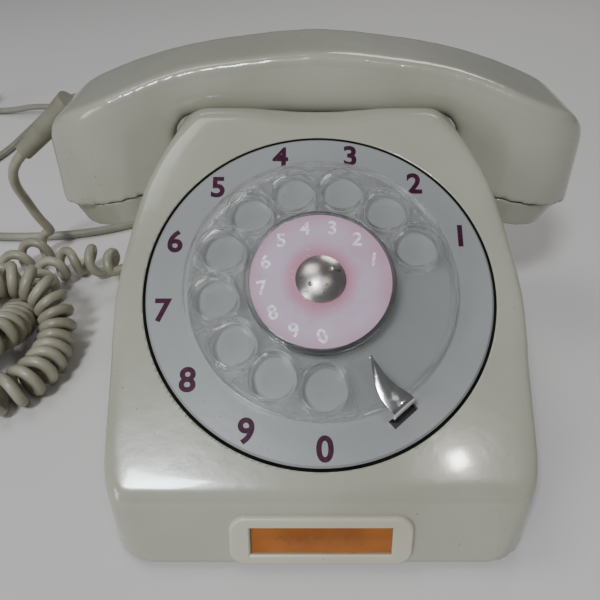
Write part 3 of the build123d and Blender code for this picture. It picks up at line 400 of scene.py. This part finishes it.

# ---- number ring ------------------------------------------------------------
# A grey ring moulded in harder plastic, let into the face behind a thin gap,
# where a seal is painted near black with no shine as painted shade of the gap.
# Its ten maroon digits are printed upright beside the finger holes.
ring_plastic = finish(
    "ring_plastic",
    aged((0.272, 0.276, 0.268, 1), (0.238, 0.242, 0.236, 1), (0.08, 0.07, 0.07, 1)),
    handled(0.26, 0.12),
    lambda place: place.noise(500, 3),
    0.00003,
    Coat_Weight=0.15,
    Coat_Roughness=0.15,
)
black_plastic = finish(
    "black_plastic",
    lambda place: place.noise(150).between(0.3, 0.7).mix((0.012, 0.012, 0.012, 1), (0.022, 0.021, 0.02, 1)),
    lambda place: 0.45 + 0.2 * place.noise(300),
    lambda place: place.noise(1800, 2),
    0.00003,
)
maroon_ink = finish(
    "maroon_ink",
    lambda place: place.noise(700, 4).between(0.35, 0.75).mix(
        (0.035, 0.004, 0.020, 1),
        (0.060, 0.010, 0.034, 1),
    ),
    lambda place: 0.40 + 0.15 * place.noise(300),
    Specular_IOR_Level=0.15,
)
# Painted shade: the seal in the gap round the number ring gets almost no colour and almost no shine, so that
# it stands for the gap's shadow.
gap_painted_shade = finish(
    "gap_painted_shade",
    lambda place: place.noise(150).between(0.3, 0.7).mix((0.004, 0.004, 0.004, 1), (0.010, 0.009, 0.008, 1)),
    lambda place: 0.8 + 0.1 * place.noise(300),
    Specular_IOR_Level=0.05,
)
paint(ring_plastic, "number_ring")
# The seal is painted near black as painted shade of the gap round the ring.
paint(gap_painted_shade, "ring_seal")
paint(black_plastic, "dial_frame", "pulse_contacts", "hook_contacts", "terminal_block")
eased("number_ring", 0.0005)


def dial_place(x, y, height):
    """A point in the dial's own axes: right, up along its face, and out of it."""
    return dial_centre + Vector((x, 0, 0)) + dial_up * y + dial_normal * height


def printed(name, text, size, boldness, x, y, height, lean, material, body):
    """A digit of ink, a few hundredths of a millimetre thick, on a face parallel to the dial."""
    letters = bpy.data.curves.new(name, "FONT")
    letters.body = text
    letters.size = size
    letters.offset = boldness
    letters.extrude = 0.00002
    letters.resolution_u = 8
    letters.align_x = "CENTER"
    letters.align_y = "CENTER"
    turn = Matrix((Vector((1, 0, 0)), dial_up, dial_normal)).transposed().to_4x4()
    mesh = bpy.data.meshes.new_from_object(bpy.data.objects.new(name, letters))
    xs = [v.co.x for v in mesh.vertices]
    ys = [v.co.y for v in mesh.vertices]
    centred = Matrix.Translation((-(max(xs) + min(xs)) / 2, -(max(ys) + min(ys)) / 2, 0))
    leaned = turn @ Matrix.Rotation(lean, 4, "Z")
    mesh.transform(Matrix.Translation(dial_place(x, y, height)) @ leaned @ centred)
    digit = bpy.data.objects.new(name, mesh)
    bpy.context.collection.objects.link(digit)
    dress(digit, material, body)
    mesh.shade_flat()


ring_proud = 0.0008
first_hole = math.radians(22.0)
hole_pitch = 2 * math.pi / 13
digit_angles = [first_hole + hole_pitch * i for i in range(10)]
for i, angle in enumerate(digit_angles):
    number = str((i + 1) % 10)
    printed(
        "ring_digit_" + number,
        number,
        0.0103,
        0.00030,
        0.0495 * math.cos(angle),
        0.0495 * math.sin(angle),
        ring_proud + 0.00003,
        0.0,
        maroon_ink,
        "root",
    )

# ---- finger wheel -----------------------------------------------------------
# Clear acrylic, turned and polished: a rim, a raised collar round each of the
# ten holes, short ribs between them, and a flat sector where no hole is.
def clear(name, tint, gloss, body):
    """See-through plastic: some light goes straight through, the rest bends and shines at its edges."""
    made = finish(
        name,
        lambda place: place.noise(60, 3).between(0.3, 0.7).mix((1.0, 1.0, 0.99, 1), (0.95, 0.95, 0.93, 1)),
        lambda place: gloss + 0.10 * place.noise(90, 5).between(0.45, 0.75),
        lambda place: place.noise(300, 2),
        0.00002,
        Transmission_Weight=1.0,
        IOR=1.49,
    )
    tree = made.node_tree
    start = Socket(tree)
    place = start.node("ShaderNodeTexCoord", {}, {}, output="Object")
    slant = start.node("ShaderNodeLayerWeight", {}, {"Blend": 0.5}, output="Facing")
    shown = body + 0.35 * slant + 0.05 * place.noise(140, 5).between(0.5, 0.75)
    through = start.node("ShaderNodeBsdfTransparent", {}, {"Color": tint})
    solid = Socket(tree, tree.nodes["Principled BSDF"].outputs[0])
    both = start.node("ShaderNodeMixShader", {}, {0: shown, 1: through, 2: solid})
    tree.links.new(both.out, tree.nodes["Material Output"].inputs["Surface"])
    return made


clear_acrylic = clear("clear_acrylic", (1.0, 1.0, 1.0, 1), 0.03, 0.50)
paint(clear_acrylic, "finger_wheel")
eased("finger_wheel", 0.0005)
clear_strip = clear("clear_strip", (0.98, 0.95, 0.90, 1), 0.08, 0.05)
paint(clear_strip, "label_window")

# ---- label disc and its ring ------------------------------------------------
# A satin card, once rose and now faded to lilac, sits on the wheel's middle in
# a thin bright ring. Its white digits are half worn away, and it is scratched.
disc_height = 0.0092


def card_colour(place):
    reach = place.away_from(dial_place(0, 0, disc_height))
    red = place.noise(38, 4).between(0.38, 0.66)
    middle = 1 - reach.between(0.008, 0.0135)
    edge = reach.between(0.0165, 0.0215)
    faded = red.mix((0.50, 0.40, 0.50, 1), (0.46, 0.27, 0.35, 1))
    ruddy = (middle * 0.7 + edge * 0.3).mix(faded, (0.46, 0.14, 0.20, 1))
    scratches = place.stretched(1, 5, 5).noise(420, 2).between(0.70, 0.74)
    return scratches.mix(ruddy, (0.62, 0.50, 0.53, 1))


rose_card = finish(
    "rose_card",
    card_colour,
    lambda place: 0.32 + 0.15 * place.noise(120, 4),
    lambda place: place.noise(900, 3),
    0.00003,
    Coat_Weight=0.3,
    Coat_Roughness=0.25,
)
bright_nickel = finish(
    "bright_nickel",
    lambda place: place.noise(420, 4).between(0.62, 0.72).mix((0.56, 0.52, 0.48, 1), (0.20, 0.15, 0.11, 1)),
    lambda place: 0.28 + 0.14 * place.noise(220, 5).between(0.45, 0.75),
    lambda place: place.noise(700, 3),
    0.00001,
    Metallic=1.0,
)
polished_nickel = finish(
    "polished_nickel",
    lambda place: place.noise(120, 4).between(0.3, 0.8).mix((0.82, 0.81, 0.79, 1), (0.66, 0.64, 0.60, 1)),
    lambda place: 0.10 + 0.15 * place.noise(260, 4).between(0.5, 0.8),
    lambda place: place.noise(500, 2),
    0.00002,
    Metallic=1.0,
)
worn_white = finish(
    "worn_white",
    lambda place: place.noise(900, 4).between(0.45, 0.62).mix((0.86, 0.84, 0.86, 1), (0.62, 0.50, 0.56, 1)),
    lambda place: 0.4 + 0.1 * place.noise(300),
)
paint(rose_card, "label_disc")
paint(clear("clear_rim", (0.90, 0.90, 0.90, 1), 0.06, 0.70), "label_ring")
for i, angle in enumerate(digit_angles):
    number = str((i + 1) % 10)
    printed(
        "disc_digit_" + number,
        number,
        0.0062,
        0.00014,
        0.0178 * math.cos(angle),
        0.0178 * math.sin(angle),
        disc_height + 0.00003,
        (angle - math.pi / 2) * 0.12,
        worn_white,
        "wheel",
    )

# ---- hub cap, shaft and finger stop -----------------------------------------
# Nickel plated brass: the domed cap screws on with a two-pin spanner, and the
# stop is a polished curved blade, bent down into a slot beside the ring.
paint(bright_nickel, "hub_cap")
paint(polished_nickel, "gong_screws")
paint(zinc_steel, "main_shaft", "governor_spindle")
stop_left = [(14.4, -23.6), (14.9, -27.5), (15.6, -31.5), (16.9, -35.4), (18.9, -39.0), (21.2, -41.8)]
stop_right = [(14.7, -23.8), (16.6, -26.4), (18.8, -29.8), (21.4, -32.6), (24.2, -34.9), (27.0, -36.8)]
stop_top = 0.0096
stop_thickness = 0.0008
bend_radius = 0.0022
bend_steps = 8
blade_points = 6
foot_depth = 0.0115
ridge = 0.00035


def blade_row(left, right, height, lift, out):
    """Points across the blade, crowned a little in its middle, on a line that is moved outwards."""
    row = []
    for k in range(blade_points):
        share = k / (blade_points - 1)
        x = left[0] + (right[0] - left[0]) * share + out[0]
        y = left[1] + (right[1] - left[1]) * share + out[1]
        row.append(tuple(dial_place(x, y, height + lift * math.sin(math.pi * share))))
    return row


stop_rows = []
base_left, base_right = (Vector((x / 1000, y / 1000)) for x, y in (stop_left[-1], stop_right[-1]))
base_line = (base_right - base_left).normalized()
outwards = Vector((base_line.y, -base_line.x))
for place, ((lx, ly), (rx, ry)) in enumerate(zip(stop_left, stop_right)):
    near = outwards * -bend_radius * (place / (len(stop_left) - 1))
    ends = ((lx / 1000, ly / 1000), (rx / 1000, ry / 1000))
    stop_rows.append(blade_row(*ends, stop_top - ridge, ridge, near))
for step in range(1, bend_steps + 1):
    turned = math.pi / 2 * step / bend_steps
    out = outwards * (bend_radius * math.sin(turned) - bend_radius)
    down = bend_radius * (1 - math.cos(turned))
    crown = ridge * math.cos(turned)
    stop_rows.append(blade_row(base_left, base_right, stop_top - ridge - down, crown, out))
stop_rows.append(blade_row(base_left, base_right, stop_top - foot_depth, 0.0, Vector((0, 0))))
stop_mesh = bpy.data.meshes.new("finger_stop_blade")
stop_faces = []
for i in range(len(stop_rows) - 1):
    for k in range(blade_points - 1):
        near_point = i * blade_points + k
        far_point = near_point + blade_points
        stop_faces.append((near_point, near_point + 1, far_point + 1, far_point))
stop_mesh.from_pydata([point for row in stop_rows for point in row], [], stop_faces)
finger_stop = bpy.data.objects.new("finger_stop_blade", stop_mesh)
bpy.context.collection.objects.link(finger_stop)
thick = finger_stop.modifiers.new("thick", "SOLIDIFY")
thick.thickness = stop_thickness
thick.offset = 1.0
soft_edge = finger_stop.modifiers.new("soft_edge", "BEVEL")
soft_edge.width = 0.00015
soft_edge.segments = 2
soft_edge.limit_method = "ANGLE"
rounder = finger_stop.modifiers.new("rounder", "SUBSURF")
rounder.levels = 2
rounder.render_levels = 2
settle(finger_stop)
dress(finger_stop, polished_nickel, "root")
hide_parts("finger_stop")

# ---- dial works -------------------------------------------------------------
# Under the ring a plate carries the return spring's barrel, a brass gear, the
# cam that opens the contacts, and a governor with two weights in its cup.
turned_brass = finish(
    "turned_brass",
    lambda place: place.noise(150, 4).between(0.3, 0.75).mix((0.62, 0.42, 0.14, 1), (0.42, 0.27, 0.09, 1)),
    lambda place: 0.25 + 0.2 * place.noise(300, 4),
    lambda place: place.noise(1200, 2),
    0.00002,
    Metallic=1.0,
)
blued_steel = finish(
    "blued_steel",
    lambda place: place.noise(200).between(0.3, 0.7).mix((0.10, 0.12, 0.17, 1), (0.18, 0.17, 0.19, 1)),
    lambda place: 0.3 + 0.15 * place.noise(400),
    Metallic=1.0,
)
paint(zinc_steel, "dial_bridge", "spring_barrel")
paint(blued_steel, "mainspring")
paint(turned_brass, "main_bush", "main_gear", "pulse_cam")
paint(turned_brass, "governor_pinion", "governor_cup", "governor_weights")

# ---- handset ----------------------------------------------------------------
# The same grey plastic in one hollow moulding: an arched grip and two cups
# whose mouths tilt inwards, each closed by a shallow cap screwed in below.
cup_centre = Vector((0.079, 0.059, 0.062))
cup_lean = math.radians(11.0)


def over_parting(point):
    """Height above the parting plane of the nearer cup."""
    side = 1 if point.x > 0 else -1
    up = Vector((side * math.sin(cup_lean), 0, math.cos(cup_lean)))
    return up.dot(point - Vector((side * cup_centre.x, cup_centre.y, cup_centre.z)))


def shell_freedom(point):
    """The shell's mouth stays sharp, and the rest is free."""
    return min(max((over_parting(point) - 0.0005) / 0.004, 0.0), 1.0)


def cap_freedom(point):
    """A cap stays sharp along the parting plane and round its holes."""
    return min(max((-over_parting(point) - 0.0015) / 0.004, 0.0), 1.0)


handset = softened("handset_shell", 0.0011, 52, shell_freedom)
dress(handset, housing_plastic, "handset")
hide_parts("handset_shell")
for cap_name in ("ear_cap", "mouth_cap"):
    cap = softened(cap_name, 0.0006, 14, cap_freedom)
    dress(cap, housing_plastic, "handset")
    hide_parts(cap_name)
stamped_can = finish(
    "stamped_can",
    lambda place: place.noise(100).between(0.3, 0.7).mix((0.55, 0.55, 0.54, 1), (0.42, 0.42, 0.42, 1)),
    lambda place: 0.35 + 0.2 * place.noise(300, 4),
    Metallic=1.0,
)
paint(stamped_can, "receiver_capsule", "transmitter_capsule")

# ---- cradle plungers --------------------------------------------------------
# Two pale pins rise between the horns under the grip, joined by a bar inside.
paint(frame_plastic, "cradle_plungers", "plunger_bar")

# ---- ringer -----------------------------------------------------------------
# Two spun gongs stand on an iron frame with a pair of taped coils, and a
# clapper swings between them on a pin.
bell_metal = finish(
    "bell_metal",
    lambda place: place.noise(80, 4).between(0.3, 0.7).mix((0.60, 0.52, 0.36, 1), (0.46, 0.39, 0.26, 1)),
    lambda place: 0.2 + 0.15 * place.noise(300, 4),
    Metallic=1.0,
)
varnished_tape = finish(
    "varnished_tape",
    lambda place: place.stretched(1, 1, 8).noise(300).between(0.3, 0.7).mix(
        (0.30, 0.09, 0.03, 1),
        (0.20, 0.06, 0.02, 1),
    ),
    lambda place: 0.35 + 0.2 * place.noise(300),
    lambda place: place.stretched(1, 1, 8).noise(500, 2),
    0.0001,
)
paint(bell_metal, "ringer_gongs")
paint(zinc_steel, "ringer_frame", "clapper")
paint(varnished_tape, "ringer_coils", "induction_coil", "capacitor")

# ---- circuit board and terminals --------------------------------------------
# A brown paper laminate board stands on studs at the front, with brass screws.
laminate = finish(
    "laminate",
    lambda place: place.stretched(1, 6, 1).noise(200).between(0.3, 0.7).mix(
        (0.26, 0.13, 0.05, 1),
        (0.20, 0.10, 0.04, 1),
    ),
    lambda place: 0.4 + 0.15 * place.noise(300),
    lambda place: place.noise(1500, 2),
    0.00002,
)
paint(laminate, "circuit_board")
paint(turned_brass, "terminal_screws", "plug_pins")

# ---- glands and boots -------------------------------------------------------
# Grey rubber strain reliefs grip each cord where it goes into the housing, the
# handset and the plug.
grey_rubber = finish(
    "grey_rubber",
    lambda place: place.noise(120, 4).between(0.3, 0.7).mix(
        (0.215, 0.205, 0.150, 1),
        (0.165, 0.155, 0.115, 1),
    ),
    lambda place: 0.42 + 0.2 * place.noise(400, 3),
    lambda place: place.noise(1200, 3),
    0.00005,
)
paint(grey_rubber, "line_gland", "curl_gland", "handset_boot", "plug_boot")

# ---- handset cord -----------------------------------------------------------
# A limp curly cord in olive grey PVC. It drops from the handset's boot as plain
# wire, runs in open turns to a heap beside the telephone, and back to a gland.
cord_jacket = finish(
    "cord_jacket",
    lambda place: place.noise(90, 4).between(0.3, 0.75).mix(
        (0.330, 0.310, 0.235, 1),
        (0.235, 0.215, 0.155, 1),
    ),
    lambda place: 0.26 + 0.2 * place.noise(200, 4),
    lambda place: place.noise(1100, 3),
    0.00006,
)
wire_diameter = 0.0046
turn_radius = 0.00595
turn_steps = 12
heap_pitch = 0.0060
stretch_pitch = 0.0115
curl_gland_tip = (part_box("curl_gland")[0][0] - 0.00005, 0.0660, 0.0106)
boot_start = Vector((-0.102, 0.072, 0.0885))
boot_along = Vector((-0.74, 0.05, -0.66)).normalized()
boot_tip = tuple(boot_start + boot_along * 0.03402)
tail_route = [
    tuple(boot_start + boot_along * 0.044),
    (-0.1385, 0.0795, 0.0470),
    (-0.1385, 0.0870, 0.0355),
    (-0.1365, 0.0905, 0.0240),
]
curl_axis = [
    (-0.1300, 0.0960, 0.0090),
    (-0.1360, 0.0865, 0.0090),
    (-0.1430, 0.0725, 0.0090),
    (-0.1480, 0.0575, 0.0090),
    (-0.1505, 0.0425, 0.0095),
    (-0.1520, 0.0220, 0.0090),
    (-0.1520, 0.0020, 0.0090),
    (-0.1470, -0.0140, 0.0090),
    (-0.1340, -0.0220, 0.0090),
    (-0.1180, -0.0210, 0.0090),
    (-0.1080, -0.0080, 0.0090),
    (-0.1065, 0.0080, 0.0090),
    (-0.1070, 0.0200, 0.0140),
    (-0.1150, 0.0300, 0.0230),
    (-0.1280, 0.0320, 0.0275),
    (-0.1410, 0.0240, 0.0280),
    (-0.1470, 0.0100, 0.0270),
    (-0.1450, -0.0040, 0.0270),
    (-0.1350, -0.0130, 0.0270),
    (-0.1240, -0.0100, 0.0265),
    (-0.1210, 0.0010, 0.0230),
    (-0.1225, 0.0130, 0.0175),
    (-0.1255, 0.0270, 0.0120),
    (-0.1265, 0.0395, 0.0105),
    (-0.1275, 0.0520, 0.0095),
    (-0.1255, 0.0650, 0.0090),
    (-0.1175, 0.0755, 0.0090),
    (-0.1055, 0.0745, 0.0095),
    (-0.0930, 0.0660, 0.0106),
    curl_gland_tip,
]


def smooth_line(name, points):
    """Points along the smooth spline that has a route's points as its control points."""
    line = bpy.data.curves.new(name, "CURVE")
    line.dimensions = "3D"
    line.resolution_u = 8
    spline = line.splines.new("NURBS")
    spline.points.add(len(points) - 1)
    for point, place in zip(spline.points, points):
        point.co = (*place, 1)
    spline.order_u = 3
    spline.use_endpoint_u = True
    mesh = bpy.data.meshes.new_from_object(bpy.data.objects.new(name, line))
    return line, np.array([tuple(v.co) for v in mesh.vertices])


def helix(points, start, stop, pitch_at, radius):
    """Control points of turns round a line, from one length along it to another."""
    steps = np.linalg.norm(np.diff(points, axis=0), axis=1)
    reached = np.concatenate([[0], np.cumsum(steps)])
    side = Vector((0, 0, 1))
    turns = []
    travelled = start
    angle = 0.0
    while travelled < reached[-1] - stop:
        here = Vector([float(np.interp(travelled, reached, points[:, k])) for k in range(3)])
        ahead = Vector([float(np.interp(travelled + 0.0005, reached, points[:, k])) for k in range(3)])
        along = (ahead - here).normalized()
        side = (side - along * side.dot(along)).normalized()
        across = along.cross(side)
        wide = radius * (0.97 + 0.03 * math.sin(61 * travelled)) / math.cos(math.pi / turn_steps)
        turns.append(here + (side * math.cos(angle) + across * math.sin(angle)) * wide)
        angle += 2 * math.pi / turn_steps
        uneven = 1.03 + 0.09 * math.sin(97 * travelled)
        travelled += pitch_at(travelled / reached[-1]) * uneven / turn_steps
    return [tuple(point) for point in turns]


def curl_pitch(share):
    """Open turns in the two stretches, and close ones in the heap between them."""
    return stretch_pitch if share < 0.14 or share > 0.83 else heap_pitch


axis_line = smooth_line("curl_axis", curl_axis)[1]
curl_turns = helix(axis_line, 0.004, 0.012, curl_pitch, turn_radius)
gland_lead = [(-0.0905, 0.0660, 0.0106), curl_gland_tip]
curl_route = [boot_tip] + tail_route + curl_turns + gland_lead
curl_line, curl_path = smooth_line("handset_cord_line", curl_route)
curl_line.bevel_depth = wire_diameter / 2
curl_line.bevel_resolution = 2
curl_line.resolution_u = 3
curl_line.use_fill_caps = True
curl_mesh = bpy.data.meshes.new_from_object(bpy.data.objects.new("curl_tube", curl_line))
handset_cord = bpy.data.objects.new("handset_cord", curl_mesh)
bpy.context.collection.objects.link(handset_cord)
curl_mesh.materials.append(cord_jacket)
curl_mesh.shade_smooth()
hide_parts("handset_cord_tail", "handset_cord_stretches", "handset_cord_heap")
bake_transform(handset_cord)

# ---- line cord --------------------------------------------------------------
# A thinner round cord leaves the back, loops behind the mouth cup and lies
# along the table; its spare length is coiled, with the plug laid on the coil.
line_jacket = finish(
    "line_jacket",
    lambda place: place.noise(70, 4).between(0.3, 0.75).mix(
        (0.260, 0.255, 0.205, 1),
        (0.195, 0.190, 0.150, 1),
    ),
    lambda place: 0.32 + 0.2 * place.noise(200, 4),
    lambda place: place.noise(1100, 3),
    0.00005,
)
line_diameter = 0.0045
line_z = 0.0024
line_exit = (-0.036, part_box("line_gland")[1][1] + 0.00002, 0.0106)
line_route = [
    line_exit,
    (-0.0360, 0.1190, 0.0106),
    (-0.0410, 0.1330, 0.0060),
    (-0.0600, 0.1390, line_z),
    (-0.0880, 0.1290, line_z),
    (-0.1180, 0.1130, line_z),
    (-0.1500, 0.1080, line_z),
    (-0.1820, 0.1095, line_z),
    (-0.2070, 0.1210, line_z),
    (-0.2220, 0.1420, line_z),
    (-0.2240, 0.1680, line_z),
    (-0.2140, 0.1950, line_z),
    (-0.2060, 0.2250, line_z),
    (-0.2045, 0.2580, line_z),
    (-0.2030, 0.2900, line_z),
    (-0.2040, 0.3180, line_z),
    (-0.1930, 0.3410, line_z),
    (-0.1710, 0.3470, line_z),
    (-0.1530, 0.3340, line_z),
    (-0.1515, 0.3130, line_z),
    (-0.1670, 0.2985, line_z),
    (-0.1870, 0.2960, 0.0076),
    (-0.2110, 0.2995, 0.0076),
    (-0.2330, 0.3030, line_z),
    (-0.2590, 0.3035, line_z),
]
coil_centre = (-0.2840, 0.2755)
coil_columns = (0.02735, 0.02265)
coil_layers = (0.0024, 0.0070, 0.0116)
coil_order = [(0, 0), (1, 0), (1, 1), (0, 1), (0, 2), (1, 2)]
coil_steps = 24
coil_places = [(coil_columns[column], coil_layers[layer]) for column, layer in coil_order]
coil_turns = []
for turn, (radius, height) in enumerate(coil_places):
    after = coil_places[min(turn + 1, len(coil_places) - 1)]
    for step in range(coil_steps):
        share = max(0.0, (step - coil_steps * 0.75) / (coil_steps * 0.25))
        angle = math.pi / 2 + 2 * math.pi * step / coil_steps
        wide = (radius + (after[0] - radius) * share) / math.cos(math.pi / coil_steps)
        level = height + (after[1] - height) * share
        x = coil_centre[0] + wide * math.cos(angle)
        y = coil_centre[1] + wide * math.sin(angle)
        coil_turns.append((x, y, level))
plug_low, plug_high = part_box("plug_boot")
plug_entry = ((plug_low[0] + plug_high[0]) / 2, plug_low[1] - 0.00002, (plug_low[2] + plug_high[2]) / 2)
plug_lead = [
    (-0.3010, 0.2940, 0.0135),
    (-0.3085, 0.2740, 0.0158),
    (-0.3060, 0.2530, 0.0165),
    (-0.2910, 0.2425, 0.0180),
    (-0.2740, 0.2440, 0.0198),
    (plug_entry[0], 0.2550, plug_entry[2]),
    plug_entry,
]
line_curve, line_path = smooth_line("line_cord_line", line_route + coil_turns[1:] + plug_lead)
line_curve.bevel_depth = line_diameter / 2
line_curve.bevel_resolution = 3
line_curve.resolution_u = 6
line_curve.use_fill_caps = True
line_cord = bpy.data.objects.new("line_cord_round", line_curve)
bpy.context.collection.objects.link(line_cord)
dress(line_cord, line_jacket, "root")
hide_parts("line_cord", "line_cord_coil")
paint(black_plastic, "plug_body")
